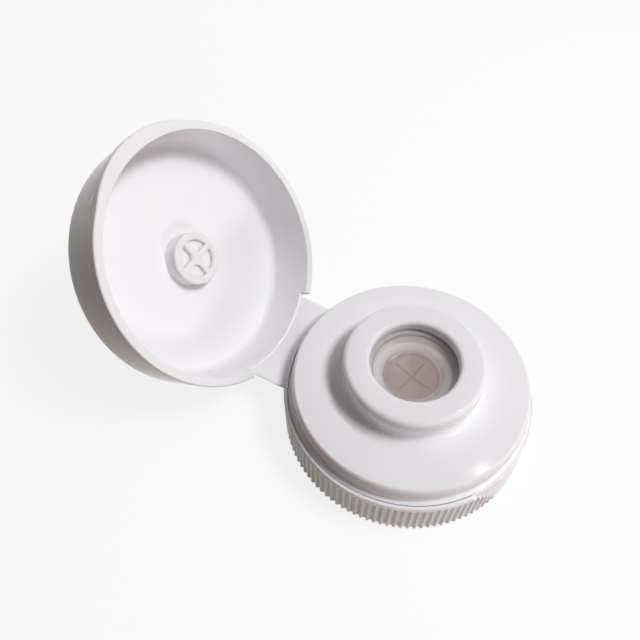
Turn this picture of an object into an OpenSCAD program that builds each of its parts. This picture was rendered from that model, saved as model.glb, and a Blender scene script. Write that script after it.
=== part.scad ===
// Flip-top squeeze bottle closure with a silicone slit valve, lid open.
// The base stands on the rim of its skirt, its axis is Z and the hinge is on the -X side.
// The lid is drawn shut, rim on the ledge, and then turned open about the hinge line.

/* [Bottle neck] */
// Radius of the bore between the thread's turns
bore_r = 19.1; // [17:0.1:23]
// Height of that bore above the skirt's rim
bore_h = 7; // [5:0.1:7.2]
// Room left for the neck's wall between the plug and the recess round it
neck_room = 2.5; // [1.5:0.1:4]

/* [Skirt] */
// Thickness of the skirt's wall without its ribs
skirt_wall = 1.5; // [1.3:0.1:2.4]
// Thickness of the ribbed skin outside that wall
skin_t = 0.4; // [0.35:0.05:0.6]
// How deep the flutes between the ribs are
flute_depth = 0.32; // [0.1:0.02:0.34]
// Width of one flute
flute_w = 0.82; // [0.4:0.02:0.9]
// Flutes round the whole skirt
flute_count = 120; // [60:2:120]
// Height of the ledge that the lid shuts on
ledge_z = 8.2; // [7.8:0.1:12]
// Height of the plain band above the flutes
band_h = 0.6; // [0.2:0.1:1.2]
// How far the plain band stays inside the crests
band_inset = 0.1; // [0:0.05:0.2]
// Half width of the smooth thumb pad at the skirt's rim
pad_low = 7.6; // [4:0.1:9]
// Half width of the thumb pad where its sides begin to flare
pad_mid = 11.6; // [9.5:0.1:12.4]
// Half width of the thumb pad at the ledge
pad_high = 14.2; // [12.6:0.1:16]
// Height above the rim at which the pad's sides begin to flare
pad_flare_z = 6; // [3:0.1:7]

/* [Deck] */
// Width of the ledge between the deck and the skirt's outside without its ribs
ledge_w = 0.95; // [0.6:0.05:1.4]
// How far the deck's top stands above the ledge
deck_h = 3.1; // [2:0.1:5]
// Thickness of the deck
deck_t = 1.4; // [1:0.1:1.8]
// Thickness of the deck's side wall
deck_wall = 1.6; // [1.2:0.1:2]
// Rounding of the deck's edge
deck_round = 0.5; // [0.2:0.1:1.4]
// Thickness of the wall of the plug that seals inside the neck
plug_t = 0.9; // [0.6:0.1:1.4]
// Length of the plug below the deck
plug_h = 2.3; // [1:0.1:4]

/* [Nozzle] */
// Radius of the mouth
mouth_r = 7.25; // [6:0.05:9]
// Thickness of the nozzle's neck round the mouth
neck_t = 3.25; // [2.8:0.05:4.5]
// How far the rolled lip stands out over the neck
lip_over = 0.9; // [0.4:0.05:1.2]
// Radius of the rolled outer edge of the lip
lip_roll = 1.9; // [1.4:0.1:2.2]
// How far the lip stands above the deck
lip_h = 5.35; // [4.8:0.05:8]
// Rounding of the mouth's inner edge
mouth_round = 0.6; // [0.2:0.1:0.8]
// Radius of the hollow fillet at the nozzle's foot
foot_fillet = 2.4; // [1:0.1:2.6]

/* [Valve seat] */
// Depth of the seat, which the valve's flange is pressed up to, below the lip
seat_drop = 2.4; // [1.6:0.05:2.8]
// How much wider the mouth has grown when it reaches the seat
mouth_flare = 0.18; // [0.1:0.01:0.4]
// Thickness of the nozzle's wall outside the pocket under the seat
pocket_wall = 1.2; // [1:0.05:1.6]
// How far the snap bead reaches into the pocket
bead_reach = 0.3; // [0.1:0.05:0.4]
// Height of the snap bead
bead_h = 0.4; // [0.3:0.05:0.6]

/* [Valve] */
// Thickness of the valve's flange
flange_t = 1.5; // [1:0.1:1.8]
// How far the flange reaches inwards past the mouth, to where the sleeve starts
flange_in = 0.65; // [0.3:0.05:1.2]
// Thickness of the sleeve
sleeve_t = 0.6; // [0.4:0.05:0.8]
// How far the sleeve narrows from the flange to the head
sleeve_run = 1.95; // [1.2:0.05:2.4]
// How far the head's edge lies below the flange's top
head_drop = 2.2; // [1.8:0.05:2.6]
// Depth of the dish in the head
dish_depth = 0.65; // [0.3:0.05:0.9]
// Thickness of the head at its edge
head_t = 1.5; // [1.2:0.1:2]
// How far each slit stops short of the head's edge
slit_margin = 1.45; // [0.8:0.05:2.5]
// Width of each slit
slit_w = 0.06; // [0.05:0.01:0.2]

/* [Valve ring] */
// Thickness of the ring
ring_t = 1.55; // [1:0.05:1.7]
// Gap between the ring's hole and the sleeve inside it
ring_clear = 0.3; // [0.2:0.05:0.8]

/* [Lid] */
// Wall thickness at the rim
rim_t = 1.4; // [1.2:0.05:1.8]
// How far the outside wall leans in up to the rounding
lid_draft = 0.4; // [0:0.05:0.6]
// How far the inside wall leans in down to the floor
inner_draft = 0.5; // [0:0.05:0.6]
// Thickness of the lid's top
lid_top_t = 1.05; // [0.8:0.05:2]
// Rounding outside, round the lid's top
lid_round = 2.2; // [1:0.1:2.6]
// Rounding inside, between wall and floor
floor_round = 1.4; // [0.5:0.1:2]
// How far the thumb lip reaches beyond the rim
thumb_reach = 0.95; // [0.3:0.05:1.4]
// How much smaller the radius of the thumb lip's outline is than the lid's
thumb_tighter = 4.2; // [2.5:0.1:6]
// Height of the thumb lip
thumb_h = 1.6; // [0.8:0.1:3]

/* [Stopper boss] */
// Radius of the boss
boss_r = 4.4; // [3.4:0.1:5]
// Height of the boss
boss_h = 2.8; // [2:0.1:3.2]
// Thickness of the ring round the boss's pockets
boss_wall = 1.3; // [0.8:0.1:1.6]
// Depth of the pockets in the boss
boss_pocket = 1.6; // [0.5:0.1:2]
// Width of the four ribs in the boss
boss_rib_w = 0.95; // [0.6:0.05:1.4]
// Width of the square hub where the ribs meet
boss_hub_w = 2.1; // [1:0.1:2.6]

/* [Hinge] */
// Distance of the hinge line outside the skirt's crests
hinge_out = 0.3; // [0.2:0.05:0.5]
// Height of the hinge line below the ledge
hinge_down = 1.4; // [1:0.05:1.8]
// How far the lid stands open
open_angle = 125.3; // [100:0.1:150]
// Width of the strap
strap_w = 18.2; // [12:0.1:20]
// Thickness of the strap
strap_t = 0.5; // [0.3:0.05:0.6]
// Angle of the strap above the level when the lid is shut
strap_lean = 66.8; // [64:0.2:70]
// Length over which each half of the strap thins down to the hinge line
strap_taper = 0.8; // [0.6:0.05:1]
// Thickness left at the hinge line
film_t = 0.06; // [0.04:0.01:0.08]
// How far the notch in the lid's rim runs past the strap on each side
notch_side = 0.6; // [0.3:0.05:1]
// How far the notch is cut back from the rim
notch_back = 1.3; // [1:0.1:1.6]
// Thickness of the thin lip left inside the notch
notch_lip_t = 0.6; // [0.4:0.05:0.8]
// How far that lip stands proud of the wall outside it
notch_lip_h = 0.35; // [0.2:0.05:0.6]

/* [Fit] */
// Gap between the shut lid's rim and the ledge
shut_gap = 0.1; // [0.05:0.05:0.3]
// Gap between the shut lid's rim and the deck's side
side_gap = 0.25; // [0.1:0.05:0.4]
// Gap between the nozzle's lip and the shut lid's floor
floor_gap = 0.5; // [0.2:0.05:2]
// Gap round the valve's flange and its ring in the pocket
pocket_gap = 0.05; // [0.02:0.01:0.1]
// Gap left at the hinge line between the strap's two halves
film_gap = 0.05; // [0.02:0.01:0.1]
// Gap between the shut strap and the edge of the ledge behind it
strap_gap = 0.2; // [0.1:0.05:0.3]

/* [Hidden] */
$fn = 96;
core_r = bore_r + skirt_wall;
crest_r = core_r + skin_t;
flute_r = flute_w * flute_w / (8 * flute_depth) + flute_depth / 2;
deck_r = core_r - ledge_w;
deck_z = ledge_z + deck_h;
ceiling_z = deck_z - deck_t;
recess_r = deck_r - deck_wall;
plug_r = recess_r - neck_room;
lip_z = deck_z + lip_h;
neck_r = mouth_r + neck_t;
lip_r = neck_r + lip_over;
roll_r = lip_r - lip_roll;
seat_z = lip_z - seat_drop;
seat_bore_r = mouth_r + mouth_flare;
pocket_r = neck_r - pocket_wall;
flange_z = seat_z - flange_t;
sleeve_r = mouth_r - flange_in;
head_r = sleeve_r - sleeve_run;
slit_l = 2 * (head_r - slit_margin);
ring_z = flange_z - ring_t;
ring_hole_r = sleeve_r + ring_clear;
rim_in_r = deck_r + side_gap;
lid_r = rim_in_r + rim_t;
rim_z = ledge_z + shut_gap;
floor_z = lip_z + floor_gap;
lid_top_z = floor_z + lid_top_t;
thumb_r = lid_r - thumb_tighter;
boss_hole_r = boss_r - boss_wall;
hinge_x = -(crest_r + hinge_out);
hinge_z = ledge_z - hinge_down;
notch_w = strap_w + 2 * notch_side;
reach = 2 * lid_r;

// Region of a cylinder of radius r from z0 up to z1
module disc(r, z0, z1) {
    translate([0, 0, z0])
        cylinder(r = r, h = z1 - z0);
}

// Half profile of a solid disc whose upper edge is rounded
module rounded_top(r, z0, z1, round_r) {
    translate([0, z0])
        square([r, z1 - z0 - round_r]);
    translate([0, z0])
        square([r - round_r, z1 - z0]);
    translate([r - round_r, z1 - round_r])
        circle(round_r);
}

// Keeps the half of a flat shape to the right of the axis
module right_half() {
    intersection() {
        children();
        translate([0, -reach])
            square([reach, 2 * reach]);
    }
}

// Turns whatever is drawn for the shut lid open about the hinge line
module swing_open() {
    translate([hinge_x, 0, hinge_z])
        rotate([0, -open_angle, 0])
            translate([-hinge_x, 0, -hinge_z])
                children();
}

// Extrudes a side view in X and Z to a width along Y
module across(width) {
    translate([0, width / 2, 0])
        rotate([90, 0, 0])
            linear_extrude(width)
                children();
}

// Side of the thumb pad, seen from the front
module pad_outline() {
    flare_end_z = (pad_flare_z + ledge_z) / 2;
    flare_end = pad_mid + (pad_high - pad_mid) / 3;
    right = [[pad_low, -1], [pad_mid, pad_flare_z], [flare_end, flare_end_z], [pad_high, ledge_z + 1]];
    left = [for (i = [len(right) - 1 : -1 : 0]) [-right[i][0], right[i][1]]];
    polygon(concat(right, left));
}

// Ribbed skin of the skirt, open at the thumb pad and behind the hinge strap
module ribbed_skin() {
    difference() {
        union() {
            linear_extrude(ledge_z - band_h)
                difference() {
                    circle(crest_r);
                    for (i = [0 : flute_count - 1])
                        rotate((i + 0.5) * 360 / flute_count)
                            translate([crest_r - flute_depth + flute_r, 0])
                                circle(flute_r, $fn = 24);
                }
            disc(crest_r - band_inset, ledge_z - band_h, ledge_z);
        }
        disc(core_r - skin_t / 2, -1, ledge_z + 1);
        translate([core_r / 2, 0, 0])
            rotate([90, 0, 90])
                linear_extrude(crest_r)
                    pad_outline();
        translate([-crest_r - 1, -notch_w / 2, -1])
            cube([crest_r / 2, notch_w, ledge_z + 2]);
    }
}

// Half profile of the nozzle above the deck, with its hollow foot fillet
module nozzle_profile() {
    translate([0, ceiling_z])
        square([neck_r, lip_z - lip_roll - ceiling_z]);
    translate([0, ceiling_z])
        square([mouth_r + mouth_round, lip_z - ceiling_z]);
    translate([0, ceiling_z])
        square([roll_r, lip_z - ceiling_z]);
    translate([roll_r, lip_z - lip_roll])
        circle(lip_roll);
    difference() {
        translate([neck_r - 0.5, deck_z - 0.5])
            square([foot_fillet + 0.5, foot_fillet + 0.5]);
        translate([neck_r + foot_fillet, deck_z + foot_fillet])
            circle(foot_fillet);
    }
}

// Half profile of everything cut out of the base from the nozzle's mouth down to the deck's underside
module nozzle_hollow() {
    polygon([
        [0, ceiling_z - 1],
        [pocket_r, ceiling_z - 1],
        [pocket_r, ring_z - bead_h - pocket_gap],
        [pocket_r - bead_reach, ring_z - bead_h - pocket_gap],
        [pocket_r - bead_reach, ring_z - pocket_gap],
        [pocket_r, ring_z - pocket_gap],
        [pocket_r, seat_z],
        [seat_bore_r, seat_z],
        [mouth_r, lip_z - mouth_round],
        [mouth_r, lip_z + 1],
        [0, lip_z + 1]
    ]);
    difference() {
        translate([mouth_r - 0.01, lip_z - mouth_round])
            square([mouth_round + 0.01, mouth_round + 1]);
        translate([mouth_r + mouth_round, lip_z - mouth_round])
            circle(mouth_round);
    }
}

// Side view of one half of the strap, leaving the hinge line at an angle
module strap_side(lean, length) {
    translate([hinge_x, hinge_z])
        rotate(lean)
            polygon([
                [film_gap, -film_t / 2],
                [strap_taper, -strap_t / 2],
                [length, -strap_t / 2],
                [length, strap_t / 2],
                [strap_taper, strap_t / 2],
                [film_gap, film_t / 2]
            ]);
}

// Half of the hinge strap that belongs to the base
module base_strap() {
    difference() {
        across(strap_w)
            strap_side(0, core_r / 2);
        disc(core_r - skin_t, 0, ledge_z);
    }
}

// Room for the shut strap, taken off the edge of the ledge
module strap_room() {
    intersection() {
        across(notch_w)
            translate([hinge_x, hinge_z])
                rotate(strap_lean)
                    translate([strap_taper, -strap_t / 2 - strap_gap])
                        square([core_r / 2, core_r / 2]);
        disc(reach, 0, ledge_z);
    }
}

module base() {
    color("white") {
        difference() {
            union() {
                disc(core_r, 0, ledge_z);
                rotate_extrude()
                    right_half() {
                        rounded_top(deck_r, ledge_z - 1, deck_z, deck_round);
                        nozzle_profile();
                    }
            }
            disc(bore_r, -1, bore_h);
            disc(recess_r, bore_h - 1, ceiling_z);
            rotate_extrude()
                nozzle_hollow();
            strap_room();
        }
        ribbed_skin();
        base_strap();
        difference() {
            disc(plug_r, ceiling_z - plug_h, ceiling_z + deck_t / 2);
            disc(plug_r - plug_t, ceiling_z - plug_h - 1, ceiling_z + deck_t);
        }
    }
}

// Half profile of the valve, slits left out
module valve_profile() {
    head_z = seat_z - head_drop;
    dish_r = (head_r * head_r + dish_depth * dish_depth) / (2 * dish_depth);
    translate([sleeve_r, flange_z])
        square([pocket_r - pocket_gap - sleeve_r, flange_t]);
    polygon([
        [sleeve_r + 0.1, seat_z - flange_t / 3],
        [head_r + 0.25, head_z],
        [head_r, head_z],
        [head_r - 0.5, head_z - sleeve_t],
        [head_r + sleeve_t, head_z - sleeve_t],
        [sleeve_r + 0.1, flange_z]
    ]);
    difference() {
        translate([0, head_z - head_t])
            square([head_r, head_t]);
        translate([0, head_z - dish_depth + dish_r])
            circle(dish_r, $fn = 200);
    }
}

module valve() {
    color("gainsboro")
        difference() {
            rotate_extrude()
                right_half()
                    valve_profile();
            for (turn = [-16, 74])
                rotate(turn)
                    translate([-slit_l / 2, -slit_w / 2, 0])
                        cube([slit_l, slit_w, seat_z]);
        }
}

module valve_ring() {
    color("whitesmoke")
        difference() {
            disc(pocket_r - pocket_gap, ring_z, flange_z);
            disc(ring_hole_r, ring_z - 1, flange_z + 1);
        }
}

// Outside of the shut lid with its thumb lip, still solid
module lid_outside() {
    shoulder_z = lid_top_z - lid_round;
    shoulder_r = lid_r - lid_draft;
    thumb_x = lid_r + thumb_reach - thumb_r;
    rotate_extrude()
        right_half() {
            polygon([[0, rim_z], [lid_r, rim_z], [shoulder_r, shoulder_z], [0, shoulder_z]]);
            rounded_top(shoulder_r, shoulder_z - 0.1, lid_top_z, lid_round);
        }
    translate([thumb_x, 0, rim_z])
        cylinder(r = thumb_r, h = thumb_h);
    translate([thumb_x, 0, rim_z + thumb_h])
        cylinder(r1 = thumb_r, r2 = thumb_r - thumb_reach, h = thumb_reach);
}

// Half profile of the lid's hollow
module lid_hollow() {
    floor_r = rim_in_r - inner_draft;
    round_z = floor_z - floor_round;
    polygon([[0, rim_z - 1], [rim_in_r, rim_z - 1], [rim_in_r, rim_z], [floor_r, round_z], [0, round_z]]);
    rounded_top(floor_r, round_z - 0.1, floor_z, floor_round);
}

// Ring with four pockets between crossed ribs, hanging from the lid's floor
module stopper_boss() {
    tip_z = floor_z - boss_h;
    difference() {
        disc(boss_r, tip_z, floor_z + lid_top_t / 2);
        difference() {
            disc(boss_hole_r, tip_z - 1, tip_z + boss_pocket);
            for (turn = [0, 90])
                rotate(turn)
                    translate([-boss_r, -boss_rib_w / 2, tip_z])
                        cube([2 * boss_r, boss_rib_w, boss_h]);
            rotate(45)
                translate([-boss_hub_w / 2, -boss_hub_w / 2, tip_z])
                    cube([boss_hub_w, boss_hub_w, boss_h]);
        }
    }
}

// Notch in the shut lid's rim for the strap, with the thin lip left standing inside it
module strap_notch() {
    lip_edge_z = rim_z + notch_back;
    translate([-reach, -notch_w / 2, rim_z - 1])
        cube([reach - rim_in_r / 2, notch_w, notch_back + 1]);
    difference() {
        translate([-reach, -notch_w / 2, rim_z - 1])
            cube([reach - rim_in_r / 2, notch_w, notch_back + notch_lip_h + 1]);
        disc(rim_in_r + notch_lip_t, rim_z - 2, lid_top_z);
    }
}

// Half of the hinge strap that belongs to the shut lid, ending inside the lid's wall
module lid_strap() {
    wall_x = sqrt(lid_r * lid_r - strap_w * strap_w / 4) - rim_t / 2;
    difference() {
        across(strap_w)
            strap_side(strap_lean, (-wall_x - hinge_x) / cos(strap_lean));
        disc(rim_in_r, hinge_z, lid_top_z);
    }
}

module lid() {
    color("white")
        swing_open() {
            difference() {
                lid_outside();
                rotate_extrude()
                    lid_hollow();
                strap_notch();
            }
            stopper_boss();
            lid_strap();
        }
}

base();
valve();
valve_ring();
lid();
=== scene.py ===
# Flip-top squeeze bottle closure with a silicone slit valve, lid open on its living hinge.
# Sizes are millimetres in the helpers and become metres when a mesh is made.
import math

import bmesh
import bpy
import numpy as np
from mathutils import Matrix, Vector

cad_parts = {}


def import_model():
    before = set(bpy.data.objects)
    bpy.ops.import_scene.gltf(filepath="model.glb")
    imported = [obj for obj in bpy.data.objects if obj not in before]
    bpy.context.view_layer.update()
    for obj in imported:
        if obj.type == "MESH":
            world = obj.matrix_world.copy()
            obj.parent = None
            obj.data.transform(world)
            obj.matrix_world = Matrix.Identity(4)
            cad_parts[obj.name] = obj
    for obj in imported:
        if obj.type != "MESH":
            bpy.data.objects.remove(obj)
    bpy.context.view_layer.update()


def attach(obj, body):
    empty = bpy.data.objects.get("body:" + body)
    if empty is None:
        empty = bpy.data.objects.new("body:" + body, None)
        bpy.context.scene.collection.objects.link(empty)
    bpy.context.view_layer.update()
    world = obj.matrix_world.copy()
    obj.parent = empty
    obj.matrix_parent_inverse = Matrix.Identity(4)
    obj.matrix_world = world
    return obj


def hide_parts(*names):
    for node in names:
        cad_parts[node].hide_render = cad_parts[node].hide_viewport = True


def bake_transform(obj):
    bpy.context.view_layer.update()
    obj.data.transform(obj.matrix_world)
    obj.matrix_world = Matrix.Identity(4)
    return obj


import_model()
MM = 0.001

# Sizes in millimetres: names in _R are radii, names in _Z are heights above the skirt's rim
CREST_R = 21.0
FLUTES = 120
FLUTE_DEPTH = 0.34
FLUTE_W = 0.80
FLUTE_TOP_Z = 7.25
COLUMNS_PER_FLUTE = 10
BAND_Z = 7.75
BAND_FADE_Z = 7.6
BAND_INSET = 0.10
PAD_R = 20.93
PAD_LEAN = 0.38
RIM_ROUND = 0.2
LEDGE_ROUND = 0.28
LEDGE_LAP = 0.6
LEDGE_Z = 8.2
CORE_R = 20.6
BORE_R = 19.1
BORE_H = 7.0
BORE_CHAMFER = 0.15
RECESS_R = 18.05
DECK_R = 19.65
DECK_Z = 11.45
SHOULDER_W = 0.75
SHOULDER_H = 1.9
LEDGE_FILLET = 0.35
CEILING_Z = 9.9
PLUG_R = 15.55
PLUG_T = 0.9
PLUG_H = 2.3
MOUTH_R = 7.15
LIP_Z = 16.65
LIP_R = 11.4
NECK_R = 10.5
FOOT = 2.4
SEAT_Z = 14.25
SEAT_BORE_R = 7.43
POCKET_R = 9.3
FLANGE_T = 1.5
HEAD_R = 4.5
HEAD_Z = 12.05
DISH = 0.65
SLIT_HALF = 3.2
RING_T = 1.55
RING_HOLE_R = 6.9
LID_R = 21.3
RIM_T = 1.4
RIM_Z = 8.3
LID_DEPTH = 8.85
LID_TOP_T = 1.05
THUMB_R = 17.0
THUMB_REACH = 0.95
BOSS_R = 4.4
BOSS_H = 2.8
HINGE = (-21.3, 6.8)
OPEN = math.radians(125.3)
NOTCH_HALF = 9.7
NOTCH_BACK = 1.3
STRAP_HALF = 9.1
STRAP_T = 0.5
WITNESS_MARKS = ((9.3, -7.9), (-9.0, -0.6), (-8.9, 8.9))

# Places in metres, where the lamps aim
DECK_TOP = (0, 0, 0.012)
SKIRT_MIDDLE = (0, 0, 0.004)

# Camera, in pixels of a square frame
FRAME_PX = 640
FOCAL_PX = 636.54
SHIFT_PX = (-31.29, -8.97)


# Mesh helpers
def rest_of_lid(points):
    """Turns points of the shut lid open about the hinge line."""
    p = np.asarray(points, float)
    c, s = math.cos(OPEN), math.sin(OPEN)
    x, z = p[:, 0] - HINGE[0], p[:, 2] - HINGE[1]
    return np.column_stack([x * c - z * s + HINGE[0], p[:, 1], x * s + z * c + HINGE[1]])


def make(name, verts, faces, material, body, sharp=35, shut_lid=False):
    """Makes a smooth-shaded piece from points in millimetres and rides it on a body."""
    v = rest_of_lid(verts) if shut_lid else np.asarray(verts, float)
    me = bpy.data.meshes.new(name)
    me.from_pydata((v * MM).tolist(), [], faces)
    bm = bmesh.new()
    bm.from_mesh(me)
    bmesh.ops.remove_doubles(bm, verts=bm.verts, dist=2e-7)
    bmesh.ops.dissolve_degenerate(bm, edges=bm.edges, dist=1e-7)
    bmesh.ops.recalc_face_normals(bm, faces=bm.faces)
    bm.to_mesh(me)
    bm.free()
    me.shade_smooth()
    me.set_sharp_from_angle(angle=math.radians(sharp))
    ob = bpy.data.objects.new(name, me)
    bpy.context.scene.collection.objects.link(ob)
    me.materials.append(material)
    if body:
        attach(ob, body)
    return ob


def rounded(corners, steps=6, closed=False):
    """Turns (r, z, radius) corners into a polyline with the same number of points whatever the angles."""
    out = []
    n = len(corners)
    for i, (x, z, rad) in enumerate(corners):
        p = Vector((x, z))
        if not closed and i in (0, n - 1):
            out.append((x, z))
            continue
        a = Vector(corners[i - 1][:2]) - p
        b = Vector(corners[(i + 1) % n][:2]) - p
        if rad <= 0:
            out.append((x, z))
            continue
        len_a, len_b = a.length, b.length
        if len_a < 1e-6 or len_b < 1e-6:
            out += [(x, z)] * (steps + 1)
            continue
        a, b = a / len_a, b / len_b
        half = math.acos(max(-1, min(1, a.dot(b)))) / 2
        t = min(rad / max(math.tan(half), 1e-6), 0.49 * len_a, 0.49 * len_b)
        r = t * math.tan(half)
        if math.pi / 2 - half < 0.004:
            out += [(x, z)] * (steps + 1)
            continue
        mid = (a + b).normalized()
        c = p + mid * (r / math.sin(half))
        s, e = p + a * t - c, p + b * t - c
        turn = math.atan2(s.x * e.y - s.y * e.x, s.dot(e))
        for k in range(steps + 1):
            q = turn * k / steps
            cos_q, sin_q = math.cos(q), math.sin(q)
            out.append((c.x + s.x * cos_q - s.y * sin_q, c.y + s.x * sin_q + s.y * cos_q))
    return out


def grid_faces(rows, cols, closed_rows=False, closed_cols=True):
    """Quads over a grid of points that is stored row by row."""
    faces = []
    for i in range(rows if closed_rows else rows - 1):
        for j in range(cols if closed_cols else cols - 1):
            a, b = i, (i + 1) % rows
            c, d = j, (j + 1) % cols
            faces.append((a * cols + c, a * cols + d, b * cols + d, b * cols + c))
    return faces


def lathe(profile, n=192, closed=True):
    """Revolves a profile of (r, z) about Z; returns vertices and faces."""
    ang = np.linspace(0, 2 * math.pi, n, endpoint=False)
    pr = np.asarray(profile, float)
    verts = np.stack(
        [pr[:, None, 0] * np.cos(ang), pr[:, None, 0] * np.sin(ang), np.repeat(pr[:, 1:2], n, 1)], -1
    ).reshape(-1, 3)
    return verts, grid_faces(len(pr), n, closed_rows=closed)


def join(parts):
    """Joins (vertices, faces) pairs into one."""
    verts, faces, base = [], [], 0
    for v, f in parts:
        verts.append(np.asarray(v, float))
        faces += [tuple(i + base for i in face) for face in f]
        base += len(v)
    return np.vstack(verts), faces


def smooth_step(t):
    """Rises softly from 0 to 1 while t does."""
    t = np.clip(t, 0, 1)
    return t * t * (3 - 2 * t)


# Materials
def node_material(name):
    m = bpy.data.materials.new(name)
    m.use_nodes = True
    nt = m.node_tree
    return m, nt, nt.nodes["Principled BSDF"]


def add(nt, kind, **values):
    """Adds a shader node with its own properties set."""
    node = nt.nodes.new(kind)
    for k, v in values.items():
        setattr(node, k, v)
    return node


def moulded_plastic(name, color, rough, grain=0.0006, scatter=0.0, depth=0.0016):
    """Injection-moulded plastic: almost even colour, faint flow shading, very fine waviness in the gloss."""
    m, nt, bsdf = node_material(name)
    bsdf.inputs["Roughness"].default_value = rough
    bsdf.inputs["IOR"].default_value = 1.49
    bsdf.inputs["Specular IOR Level"].default_value = 0.2
    bsdf.inputs["Subsurface Weight"].default_value = scatter
    bsdf.inputs["Subsurface Radius"].default_value = (1.0, 0.97, 0.94)
    bsdf.inputs["Subsurface Scale"].default_value = depth
    coord = add(nt, "ShaderNodeTexCoord")
    flow = add(nt, "ShaderNodeTexNoise")
    flow.inputs["Scale"].default_value = 55
    flow.inputs["Detail"].default_value = 3
    fine = add(nt, "ShaderNodeTexNoise")
    fine.inputs["Scale"].default_value = 900
    fine.inputs["Detail"].default_value = 2
    nt.links.new(coord.outputs["Object"], flow.inputs["Vector"])
    nt.links.new(coord.outputs["Object"], fine.inputs["Vector"])
    ramp = add(nt, "ShaderNodeValToRGB")
    ramp.color_ramp.elements[0].position = 0.3
    ramp.color_ramp.elements[1].position = 0.7
    ramp.color_ramp.elements[0].color = (*(c * 0.985 for c in color), 1)
    ramp.color_ramp.elements[1].color = (*color, 1)
    nt.links.new(flow.outputs["Fac"], ramp.inputs["Fac"])
    nt.links.new(ramp.outputs["Color"], bsdf.inputs["Base Color"])
    spread = add(nt, "ShaderNodeMapRange")
    spread.inputs["To Min"].default_value = rough - 0.03
    spread.inputs["To Max"].default_value = rough + 0.05
    nt.links.new(flow.outputs["Fac"], spread.inputs["Value"])
    nt.links.new(spread.outputs["Result"], bsdf.inputs["Roughness"])
    bump = add(nt, "ShaderNodeBump")
    bump.inputs["Strength"].default_value = 0.35
    bump.inputs["Distance"].default_value = grain * 0.02
    nt.links.new(fine.outputs["Fac"], bump.inputs["Height"])
    nt.links.new(bump.outputs["Normal"], bsdf.inputs["Normal"])
    return m


def silicone(name, color, rim):
    """Translucent milky silicone, a little cloudy, softly glossy; its head is painted in a darker shade."""
    m, nt, bsdf = node_material(name)
    bsdf.inputs["Roughness"].default_value = 0.28
    bsdf.inputs["IOR"].default_value = 1.41
    bsdf.inputs["Transmission Weight"].default_value = 0.45
    coord = add(nt, "ShaderNodeTexCoord")
    cloud = add(nt, "ShaderNodeTexNoise")
    cloud.inputs["Scale"].default_value = 420
    cloud.inputs["Detail"].default_value = 4
    ramp = add(nt, "ShaderNodeValToRGB")
    ramp.color_ramp.elements[0].position = 0.35
    ramp.color_ramp.elements[1].position = 0.65
    ramp.color_ramp.elements[0].color = (*(c * 0.9 for c in color), 1)
    ramp.color_ramp.elements[1].color = (*color, 1)
    # The head is painted dark brown, a painted shade of the nozzle's deep bore; the flange round it keeps
    # the silicone's light colour
    flat = add(nt, "ShaderNodeVectorMath", operation="MULTIPLY")
    flat.inputs[1].default_value = (1, 1, 0)
    radius = add(nt, "ShaderNodeVectorMath", operation="LENGTH")
    thick = add(nt, "ShaderNodeMapRange")
    thick.inputs["From Min"].default_value = 0.0043
    thick.inputs["From Max"].default_value = 0.0056
    body = add(nt, "ShaderNodeMix", data_type="RGBA")
    body.inputs[7].default_value = (*rim, 1)
    bump = add(nt, "ShaderNodeBump")
    bump.inputs["Strength"].default_value = 0.7
    bump.inputs["Distance"].default_value = 0.00022
    crease = add(nt, "ShaderNodeTexNoise")
    crease.noise_type = "RIDGED_MULTIFRACTAL"
    crease.inputs["Scale"].default_value = 190
    crease.inputs["Detail"].default_value = 2
    crease.inputs["Distortion"].default_value = 1.4
    nt.links.new(coord.outputs["Object"], cloud.inputs["Vector"])
    nt.links.new(cloud.outputs["Fac"], ramp.inputs["Fac"])
    nt.links.new(coord.outputs["Object"], flat.inputs[0])
    nt.links.new(flat.outputs["Vector"], radius.inputs[0])
    nt.links.new(radius.outputs["Value"], thick.inputs["Value"])
    nt.links.new(thick.outputs["Result"], body.inputs[0])
    nt.links.new(ramp.outputs["Color"], body.inputs[6])
    nt.links.new(body.outputs[2], bsdf.inputs["Base Color"])
    nt.links.new(coord.outputs["Object"], crease.inputs["Vector"])
    nt.links.new(crease.outputs["Fac"], bump.inputs["Height"])
    nt.links.new(bump.outputs["Normal"], bsdf.inputs["Normal"])
    return m


white = moulded_plastic("white_moulding", (0.88, 0.875, 0.905), 0.09)
# The boss gets a slightly lighter copy of the white moulding: painted light that brightens the shade in its
# pockets and round its side
boss_white = moulded_plastic("boss_moulding", (0.90, 0.895, 0.91), 0.14, scatter=0.35, depth=0.003)
ring_white = moulded_plastic("ring_moulding", (0.78, 0.77, 0.78), 0.3)
# The first colour is painted shade on the valve's head, deep in the nozzle; the second is the silicone's own
# light colour on the flange
clear = silicone("valve_silicone", (0.50, 0.40, 0.36), (0.84, 0.79, 0.78))


# Base
def pad_edge(z):
    """Half width of the smooth thumb pad at a height."""
    zs = [-0.5, 0.9, 3.8, 5.9, 7.1, 8.6]
    ys = [7.45, 8.34, 10.18, 11.5, 12.45, 14.05]
    return np.interp(z, zs, ys)


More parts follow.
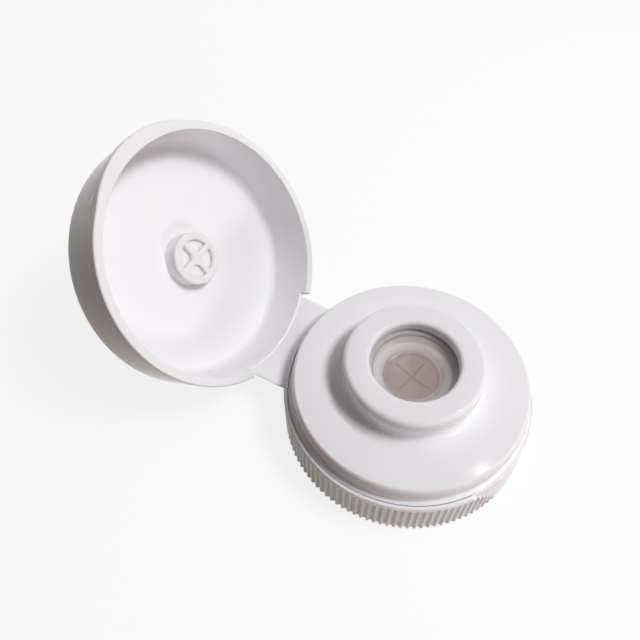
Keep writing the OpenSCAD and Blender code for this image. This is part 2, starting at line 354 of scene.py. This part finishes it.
def skirt_outside():
    """Outside of the skirt: flutes, thumb pad, plain stretch at the hinge and edge of the ledge."""
    cols = FLUTES * COLUMNS_PER_FLUTE
    az = (np.arange(cols) + 0.5) * 2 * math.pi / cols
    rim_rows = [0.0, 0.03, 0.09, RIM_ROUND]
    flute_rows = list(np.linspace(0.35, 6.9, 30))
    band_rows = list(np.linspace(7.02, 7.86, 14))
    edge_rows = [7.95, 8.05, 8.13, 8.18, LEDGE_Z]
    zs = np.array(rim_rows + flute_rows + band_rows + edge_rows)
    A, Z = np.meshgrid(az, zs)

    # Flutes with round ends, below a plain band
    arc = ((A * FLUTES / (2 * math.pi)) % 1 - 0.5) * 2 * math.pi * CREST_R / FLUTES
    beyond = np.clip(Z - FLUTE_TOP_Z, 0, None)
    u = np.sqrt(arc ** 2 + beyond ** 2) / (FLUTE_W / 2)
    groove = FLUTE_DEPTH * np.clip(1 - u ** 2, 0, None) ** 0.8
    band = CREST_R - BAND_INSET * smooth_step((Z - BAND_FADE_Z) / 0.3)
    rad = np.where(Z > BAND_Z, band, CREST_R) - groove

    # Smooth pad at the front
    y = np.abs(CREST_R * np.sin(A))
    pad = PAD_R - PAD_LEAN * smooth_step((Z - 1.0) / 6.8)
    on_pad = np.where(np.cos(A) > 0, smooth_step((pad_edge(Z) - y) / 0.34 + 0.5), 0)
    rad = rad * (1 - on_pad) + pad * on_pad

    # Plain stretch at the hinge
    at_hinge = np.where(np.cos(A) < 0, smooth_step((NOTCH_HALF + 0.1 - y) / 0.2), 0)
    rad = rad * (1 - at_hinge) + CORE_R * at_hinge

    # Rounding at the skirt's rim and along the ledge's edge, and a chamfer under the strap
    low = 1 - np.clip(Z / RIM_ROUND, 0, 1)
    rad = rad - RIM_ROUND * (1 - np.sqrt(np.clip(1 - low ** 2, 0, 1)))
    high = np.clip((Z - (LEDGE_Z - LEDGE_ROUND)) / LEDGE_ROUND, 0, 1)
    rad = rad - LEDGE_ROUND * (1 - np.sqrt(np.clip(1 - high ** 2, 0, 1)))
    chamfer = np.clip(Z - 7.3, 0, None) * 0.43
    rad = rad - at_hinge * chamfer * np.clip(1 - 3 * np.abs(np.cos(A) + 1), 0, 1)

    def circle_at(radius, z):
        return np.stack([radius * np.cos(az), radius * np.sin(az), np.full(cols, z)], -1)

    outside = np.stack([rad * np.cos(A), rad * np.sin(A), Z], -1).reshape(-1, 3)
    inner_low = circle_at(BORE_R + BORE_CHAMFER, 0.0)
    inner_top = circle_at(DECK_R + LEDGE_LAP, LEDGE_Z)
    verts = np.vstack([inner_low, outside, inner_top])
    return verts, grid_faces(len(zs) + 2, cols)


def base_body():
    """Revolved: up inside the skirt, under the deck, through the nozzle and down outside to the ledge."""
    bead_r = POCKET_R - 0.3
    inside = rounded([
        (BORE_R + BORE_CHAMFER, 0, 0),
        (BORE_R, BORE_CHAMFER, 0.1),
        (BORE_R, BORE_H, 0.2),
        (RECESS_R, BORE_H, 0.3),
        (RECESS_R, CEILING_Z, 0.4),
        (PLUG_R, CEILING_Z, 0.3),
        (PLUG_R, CEILING_Z - PLUG_H + 0.5, 0.4),
        (PLUG_R - 0.25, CEILING_Z - PLUG_H, 0.15),
        (PLUG_R - PLUG_T, CEILING_Z - PLUG_H, 0.2),
        (PLUG_R - PLUG_T, CEILING_Z, 0.3),
        (POCKET_R, CEILING_Z, 0.15),
        # Bead that holds the snap ring
        (POCKET_R, 10.70, 0.1),
        (bead_r, 10.85, 0.1),
        (bead_r, 11.0, 0.1),
        (POCKET_R, 11.15, 0.1),
        (POCKET_R, SEAT_Z, 0),
        (SEAT_BORE_R, SEAT_Z, 0.12),
        (MOUTH_R, LIP_Z - 1.6, 0.5),
        (MOUTH_R, LIP_Z, 1.35),
        (LIP_R - 1.9, LIP_Z, 0),
    ], steps=8)
    nozzle = rounded([
        (LIP_R - 1.88, LIP_Z, 0),
        (LIP_R, LIP_Z, 1.2),
        (LIP_R - 0.02, LIP_Z - 2.1, 0.8),
        (NECK_R + 0.55, LIP_Z - 3.2, 0.8),
        (NECK_R + 0.5, DECK_Z, FOOT - 0.5),
        (14.4, DECK_Z, 0),
    ], steps=9)
    # The shoulder is a quarter of an ellipse that runs into the upright wall
    steps = 16
    shoulder = []
    for k in range(steps + 1):
        q = math.pi / 2 * (1 - k / steps)
        r = DECK_R - SHOULDER_W + SHOULDER_W * math.cos(q)
        shoulder.append((r, DECK_Z - SHOULDER_H + SHOULDER_H * math.sin(q)))
    bottom = rounded([
        (DECK_R - 0.02, 9.3, 0),
        (DECK_R - 0.2, LEDGE_Z, LEDGE_FILLET),
        (DECK_R + 0.7, LEDGE_Z, 0),
    ], steps=7)
    return lathe(inside + nozzle + shoulder + bottom, n=256, closed=False)


def thread():
    """Right-hand thread inside the skirt: one rounded trapezoid swept a little more than a turn."""
    turns, pitch, start_z, start_az = 1.15, 3.4686, 1.7, math.radians(70)
    rows = 201
    run_out = 0.06
    section = rounded([
        (0.15, -0.95, 0),
        (-0.25, -0.8, 0.2),
        (-1.1, -0.25, 0.2),
        (-1.1, 0.2, 0.2),
        (-0.3, 0.85, 0.2),
        (0.15, 1.0, 0),
    ], steps=4)
    verts = []
    for i in range(rows):
        t = i / (rows - 1)
        a = start_az + t * turns * 2 * math.pi
        fade = math.sin(min(1, t / run_out, (1 - t) / run_out) * math.pi / 2)
        for du, dv in section:
            r = BORE_R + (du * fade if du < 0 else du)
            z = start_z + t * turns * pitch + dv * (0.35 + 0.65 * fade)
            verts.append((r * math.cos(a), r * math.sin(a), z))
    return np.array(verts), grid_faces(rows, len(section), closed_cols=False)


verts, faces = join([base_body(), skirt_outside()])
base = make("closure_base", verts, faces, white, "closure", sharp=32)
verts, faces = thread()
bottle_thread = make("bottle_thread", verts, faces, white, "closure", sharp=60)


# Valve and its ring
def valve_body():
    """Dished head with a cross slit, sleeve and flange, as columns of points round the axis."""
    slit_half_w, slit_depth = 0.035, 0.16
    slits = [math.radians(a) for a in (-16, 74)]
    lines = sorted([(s + k * math.pi) % (2 * math.pi) for s in slits for k in (0, 1)])
    slit_rings = list(np.linspace(0.15, SLIT_HALF, 16))
    outer_rings = list(np.linspace(3.4, HEAD_R - 0.2, 6))
    head_rings = [0.0001] + slit_rings + [SLIT_HALF + 0.06] + outer_rings
    dish_r = (HEAD_R ** 2 + DISH ** 2) / (2 * DISH)

    # Each column is an azimuth and, on a slit, the side of it: -1, 0 for its bottom, or 1
    cols = []
    for i, a in enumerate(lines):
        b = lines[(i + 1) % 4] + (2 * math.pi if i == 3 else 0)
        cols += [(a, -1), (a, 0), (a, 1)]
        cols += [(a + (b - a) * k / 24, None) for k in range(1, 24)]

    def point(r, a, off, z):
        return r * math.cos(a) - off * math.sin(a), r * math.sin(a) + off * math.cos(a), z

    verts = []
    for r in head_rings:
        top = HEAD_Z - DISH + dish_r - math.sqrt(dish_r ** 2 - r * r)
        for a, side in cols:
            off = (side or 0) * slit_half_w if r > 0.05 else 0
            sunk = slit_depth if side == 0 and r <= SLIT_HALF else 0
            verts.append(point(r, a, off, top - sunk))
    rim = rounded([
        (HEAD_R - 0.1, HEAD_Z - 0.02, 0),
        (HEAD_R + 0.1, HEAD_Z + 0.05, 0.08),
        (HEAD_R + 0.28, HEAD_Z - 0.08, 0.12),
        (6.5, SEAT_Z - 0.55, 0.35),
        (6.72, SEAT_Z, 0.3),
        (POCKET_R - 0.05, SEAT_Z, 0.15),
        (POCKET_R - 0.05, SEAT_Z - FLANGE_T, 0.15),
        (6.65, SEAT_Z - FLANGE_T, 0.4),
        (HEAD_R + 0.55, HEAD_Z - 0.6, 0.2),
        (HEAD_R, HEAD_Z - 0.75, 0.15),
        (HEAD_R, HEAD_Z - 1.5, 0.35),
        (0.0001, HEAD_Z - 1.5, 0),
    ], steps=5)
    verts += [point(r, a, (side or 0) * slit_half_w, z) for r, z in rim for a, side in cols]
    return np.array(verts), grid_faces(len(head_rings) + len(rim), len(cols))


verts, faces = valve_body()
valve = make("valve_skin", verts, faces, clear, "closure", sharp=40)
flange_z = SEAT_Z - FLANGE_T
verts, faces = lathe(rounded([
    (RING_HOLE_R, flange_z, 0.25),
    (RING_HOLE_R, flange_z - RING_T, 0.25),
    (POCKET_R - 0.05, flange_z - RING_T, 0.3),
    (POCKET_R - 0.05, flange_z, 0.1),
], steps=5, closed=True), n=128)
ring = make("snap_ring", verts, faces, ring_white, "closure", sharp=40)


# Lid
def wall_in(h):
    """Inner radius of the lid's wall at a height from its rim plane."""
    return LID_R - RIM_T - 0.5 * h / (LID_DEPTH - 1.2)


def wall_out(h):
    """Outer radius of the lid's wall at a height from its rim plane."""
    return LID_R - 0.4 * h / (LID_DEPTH + LID_TOP_T - 2.2)


def lid_column(az, notch):
    """Section of the lid at an azimuth, heights counted from the rim plane."""
    thumb_x = LID_R + THUMB_REACH - THUMB_R
    c, s = math.cos(az), math.sin(az)
    reach = thumb_x * c + math.sqrt(max(THUMB_R ** 2 - (thumb_x * s) ** 2, 0)) if c > 0 else 0
    softness = 0.12
    d = reach - LID_R
    out = 0.5 * (d + math.sqrt(d * d + softness ** 2)) if c > 0 else 0
    out = max(out - 0.02, 0)
    h2 = NOTCH_BACK if notch else 0.0
    h3 = NOTCH_BACK + 0.65 if notch else 0.0
    lip = wall_in(0) + 0.55
    r_out = wall_out(h3) + out
    if notch:
        lip_top, back = h3 + 0.9, h3 + 1.8
    else:
        lip_top, back = 1.75, 2.9
    top = LID_DEPTH + LID_TOP_T
    pts = rounded([
        (0.0001, LID_DEPTH, 0),
        (8, LID_DEPTH, 0),
        (14, LID_DEPTH, 0),
        (wall_in(LID_DEPTH), LID_DEPTH, 1.5),
        (wall_in(4), 4, 0),
        (wall_in(h2), h2, 0.14),
        (lip, h2, 0.12),
        (lip, h3, 0.12),
        (r_out, h3, 0.3),
        (wall_out(lip_top) + out * 0.93, lip_top, 0.55),
        (wall_out(back), back, 0.7),
        (wall_out(5), 5, 0),
        (wall_out(top), top, 2.2),
        (15, top, 0),
        (8, top, 0),
        (0.0001, top, 0),
    ], steps=7)
    return [(r * c, r * s, RIM_Z + h) for r, h in pts]


def lid_shell():
    """Cup of the shut lid, with a notch in its rim at the hinge."""
    half = math.asin(NOTCH_HALF / (LID_R - RIM_T / 2))
    start, stop = math.pi - half, math.pi + half
    in_notch, outside = 40, 248
    turn = 2 * math.pi - (stop - start)
    columns = [lid_column(start + (stop - start) * i / in_notch, True) for i in range(in_notch + 1)]
    columns += [lid_column(stop + turn * i / outside, False) for i in range(outside + 1)]
    rows = len(columns[0])
    verts = [column[i] for i in range(rows) for column in columns]
    return np.array(verts), grid_faces(rows, len(columns))


def witness_mark(x, y, r, h, z, n=48):
    """Very low round mark left by an ejector pin on the lid's floor."""
    ang = np.linspace(0, 2 * math.pi, n, endpoint=False)
    rings = ((r - 0.08, z - h), (r, z - h * 0.3), (r, z + 0.3))
    verts = [(x + q * math.cos(a), y + q * math.sin(a), w) for q, w in rings for a in ang]
    faces = grid_faces(3, n)
    faces += [tuple(range(n)), tuple(range(3 * n - 1, 2 * n - 1, -1))]
    return np.array(verts), faces


marks = [witness_mark(x, y, 1.5, 0.015, RIM_Z + LID_DEPTH) for x, y in WITNESS_MARKS]
verts, faces = join([lid_shell()] + marks)
lid = make("lid_shell", verts, faces, white, "lid", sharp=32, shut_lid=True)


def boss_outline():
    """Pocket outlines between the hub and the ring, one per quadrant."""
    r_in, hub, rib = 3.1, 1.15, 0.5
    out = []
    for q in range(4):
        a0 = (q + 0.5) * math.pi / 2
        pts = []
        # A rib's side leaves the hub at 45 degrees to the quadrant's middle
        lim = math.pi / 4 - math.asin((rib + 0.02) / r_in)
        for k in range(13):
            a = -lim + 2 * lim * k / 12
            pts.append((r_in * math.cos(a), r_in * math.sin(a)))
        d = rib * math.sqrt(2)
        x = max(hub, d + 0.05)
        pts.append((x, x - d))
        pts.append((x, -(x - d)))
        c, s = math.cos(a0), math.sin(a0)
        out.append([(px * c - py * s, px * s + py * c) for px, py in pts])
    return out


def boss():
    """Stopper boss of the shut lid: a bevelled plate with four pockets, on a plain stem."""
    cu = bpy.data.curves.new("boss_curve", "CURVE")
    cu.dimensions = "2D"
    cu.fill_mode = "BOTH"
    bev = 0.3
    cu.bevel_depth = bev * MM
    cu.bevel_resolution = 4
    depth = 1.0
    cu.extrude = (depth / 2 - bev) * MM
    cu.offset = -bev * MM

    def ring(points):
        sp = cu.splines.new("POLY")
        sp.points.add(len(points) - 1)
        for p, (x, y) in zip(sp.points, points):
            p.co = (x * MM, y * MM, 0, 1)
        sp.use_cyclic_u = True

    turn = np.linspace(0, 2 * math.pi, 96, endpoint=False)
    ring([(BOSS_R * math.cos(t), BOSS_R * math.sin(t)) for t in turn])
    for o in boss_outline():
        ring(o[::-1])
    tmp = bpy.data.objects.new("boss_tmp", cu)
    bpy.context.scene.collection.objects.link(tmp)
    bpy.context.view_layer.update()
    me = bpy.data.meshes.new_from_object(tmp.evaluated_get(bpy.context.evaluated_depsgraph_get()))
    bpy.data.objects.remove(tmp)
    bpy.data.curves.remove(cu)
    tip = RIM_Z + LID_DEPTH - BOSS_H
    vv = np.array([q.co for q in me.vertices]) / MM + np.array([0, 0, tip + depth / 2])
    ff = [tuple(p.vertices) for p in me.polygons]
    bpy.data.meshes.remove(me)
    floor_z = RIM_Z + LID_DEPTH
    pocket_z = tip + 0.8
    stem = lathe(rounded([
        (0.0001, pocket_z, 0),
        (BOSS_R - 0.25, pocket_z, 0),
        (BOSS_R, pocket_z, 0),
        (BOSS_R, floor_z, 0.25),
        (BOSS_R + 0.8, floor_z + 0.02, 0),
    ], steps=5), n=96, closed=False)
    return join([(vv, ff), stem])


verts, faces = boss()
stopper = make("stopper_boss", verts, faces, boss_white, "lid", sharp=40, shut_lid=True)


# Hinge strap, one web across the joint
def strap():
    """Web from under the ledge to the lid's notch, in the open pose."""
    rows, cols = 33, 49
    ys = np.linspace(-STRAP_HALF, STRAP_HALF, cols)
    top, low = [], []
    root_r = wall_in(0) + 0.35
    for i in range(rows):
        t = i / (rows - 1)
        for y in ys:
            xb = -math.sqrt((CORE_R - 0.25) ** 2 - y * y)
            xr = -math.sqrt(root_r ** 2 - y * y)
            end = rest_of_lid([(xr, y, RIM_Z + 1.95)])[0]
            start = np.array([xb, y, 6.85])
            bend = np.array([HINGE[0] + 0.1, y, 6.95])
            # A quadratic curve drawn towards the hinge line keeps the web level where it leaves the skirt
            p = (1 - t) ** 2 * start + 2 * t * (1 - t) * bend + t * t * end
            tan = 2 * (1 - t) * (bend - start) + 2 * t * (end - bend)
            nrm = np.array([-tan[2], 0, tan[0]])
            nrm /= np.linalg.norm(nrm)
            if nrm[2] < 0:
                nrm = -nrm
            thick = STRAP_T / 2 * (0.62 + 0.38 * min(1, abs(p[0] - HINGE[0]) / 0.9) ** 2)
            edge = min(1, (STRAP_HALF - abs(y)) / 0.18)
            thick *= 0.25 + 0.75 * math.sqrt(max(0, 1 - (1 - edge) ** 2))
            top.append(p + nrm * thick)
            low.append(p - nrm * thick)
    n = rows * cols
    sheet = grid_faces(rows, cols, closed_cols=False)
    faces = sheet + [tuple(n + k for k in quad[::-1]) for quad in sheet]
    for i in range(rows - 1):
        for j in (0, cols - 1):
            a, b = i * cols + j, (i + 1) * cols + j
            faces.append((a, b, n + b, n + a))
    for j in range(cols - 1):
        for i in (0, rows - 1):
            a, b = i * cols + j, i * cols + j + 1
            faces.append((a, b, n + b, n + a))
    return np.array(top + low), faces


verts, faces = strap()
web = make("hinge_web", verts, faces, white, None, sharp=50)
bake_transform(web)

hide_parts("base")
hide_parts("valve")
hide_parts("valve_ring")
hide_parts("lid")


# Floor, light and camera
def seen_straight(nt):
    """Socket that is 1 for camera, glossy and transmission rays, and 0 for the light that bounces."""
    path = add(nt, "ShaderNodeLightPath")
    either = add(nt, "ShaderNodeMath", operation="MAXIMUM")
    any_of = add(nt, "ShaderNodeMath", operation="MAXIMUM")
    nt.links.new(path.outputs["Is Camera Ray"], either.inputs[0])
    nt.links.new(path.outputs["Is Glossy Ray"], either.inputs[1])
    nt.links.new(either.outputs["Value"], any_of.inputs[0])
    nt.links.new(path.outputs["Is Transmission Ray"], any_of.inputs[1])
    return any_of.outputs["Value"]


def floor():
    """Floor that looks white and keeps the shadow, and bounces a table's brown on the object."""
    me = bpy.data.meshes.new("floor")
    s = 1.6
    me.from_pydata([(-s, -s, 0), (s, -s, 0), (s, s, 0), (-s, s, 0)], [], [(0, 1, 2, 3)])
    ob = bpy.data.objects.new("floor", me)
    bpy.context.scene.collection.objects.link(ob)
    m, nt, bsdf = node_material("floor_white")
    out = nt.nodes["Material Output"]
    bsdf.inputs["Base Color"].default_value = (0.96, 0.96, 0.96, 1)
    bsdf.inputs["Roughness"].default_value = 0.9
    bsdf.inputs["Specular IOR Level"].default_value = 0.0
    glow = add(nt, "ShaderNodeEmission")
    glow.inputs["Color"].default_value = (1, 1, 1, 1)
    glow.inputs["Strength"].default_value = 1.0
    seen = add(nt, "ShaderNodeMixShader")
    seen.inputs["Fac"].default_value = 0.84
    nt.links.new(bsdf.outputs["BSDF"], seen.inputs[1])
    nt.links.new(glow.outputs["Emission"], seen.inputs[2])
    table = add(nt, "ShaderNodeBsdfDiffuse")
    table.inputs["Color"].default_value = (0.44, 0.29, 0.21, 1)
    pick = add(nt, "ShaderNodeMixShader")
    nt.links.new(seen_straight(nt), pick.inputs["Fac"])
    nt.links.new(table.outputs["BSDF"], pick.inputs[1])
    nt.links.new(seen.outputs["Shader"], pick.inputs[2])
    nt.links.new(pick.outputs["Shader"], out.inputs["Surface"])
    me.materials.append(m)


def lamp(name, direction, distance, size, watts, target, along=(0, 1, 0), glossy=True):
    """Rectangular lamp that faces the target; its first side runs along the given vector."""
    li = bpy.data.lights.new(name, "AREA")
    li.shape = "RECTANGLE"
    li.size, li.size_y = size
    li.energy = watts
    ob = bpy.data.objects.new(name, li)
    bpy.context.scene.collection.objects.link(ob)
    back = Vector(direction).normalized()
    up = back.cross(Vector(along)).normalized()
    side = up.cross(back)
    place = Vector(target) + back * distance
    ob.matrix_world = Matrix((
        (side.x, up.x, back.x, place.x),
        (side.y, up.y, back.y, place.y),
        (side.z, up.z, back.z, place.z),
        (0, 0, 0, 1),
    ))
    ob.visible_glossy = glossy
    return ob


def world():
    """Warm, weak light from all round, in front of a white background."""
    w = bpy.data.worlds.new("studio")
    bpy.context.scene.world = w
    w.use_nodes = True
    nt = w.node_tree
    bg = nt.nodes["Background"]
    bg.inputs["Color"].default_value = (0.80, 0.68, 0.61, 1)
    bg.inputs["Strength"].default_value = 0.11
    white_bg = add(nt, "ShaderNodeBackground")
    white_bg.inputs["Color"].default_value = (1, 1, 1, 1)
    white_bg.inputs["Strength"].default_value = 1.0
    mix = add(nt, "ShaderNodeMixShader")
    nt.links.new(seen_straight(nt), mix.inputs["Fac"])
    nt.links.new(bg.outputs["Background"], mix.inputs[1])
    nt.links.new(white_bg.outputs["Background"], mix.inputs[2])
    nt.links.new(mix.outputs["Shader"], nt.nodes["World Output"].inputs["Surface"])


def camera():
    """Camera matched to the photograph."""
    cam = bpy.data.cameras.new("camera")
    cam.sensor_fit = "HORIZONTAL"
    cam.sensor_width = 36.0
    cam.lens = cam.sensor_width * FOCAL_PX / FRAME_PX
    cam.shift_x = SHIFT_PX[0] / FRAME_PX
    cam.shift_y = SHIFT_PX[1] / FRAME_PX
    cam.clip_start = 0.005
    cam.clip_end = 20
    ob = bpy.data.objects.new("camera", cam)
    bpy.context.scene.collection.objects.link(ob)
    right = Vector((0.90047, 0.43349, 0.03521))
    down = Vector((0.36695, -0.71380, -0.59652))
    ahead = Vector((-0.23345, 0.55007, -0.80183))
    ob.matrix_world = Matrix((
        (right.x, -down.x, -ahead.x, 0.011416),
        (right.y, -down.y, -ahead.y, -0.053750),
        (right.z, -down.z, -ahead.z, 0.100766),
        (0, 0, 0, 1),
    ))
    bpy.context.scene.camera = ob


floor()
world()
camera()
lamp("key", (0.49, 0.11, 0.865), 0.40, (0.12, 0.08), 1.02, DECK_TOP, glossy=False)
lamp("window", (0.30, 0.30, 0.90), 0.30, (0.100, 0.006), 0.11, DECK_TOP, along=(0.92, -0.37, -0.13))
lamp("back", (0.12, 0.60, 0.79), 0.40, (0.20, 0.20), 0.09, DECK_TOP, glossy=False)
lamp("rear", (-0.75, 0.62, 0.20), 0.35, (0.20, 0.12), 0.26, DECK_TOP, glossy=False)
lamp("bounce", (0.92, -0.38, 0.07), 0.22, (0.08, 0.024), 0.11, SKIRT_MIDDLE, glossy=False)
bpy.context.scene.view_settings.view_transform = "Standard"

bpy.context.view_layer.update()
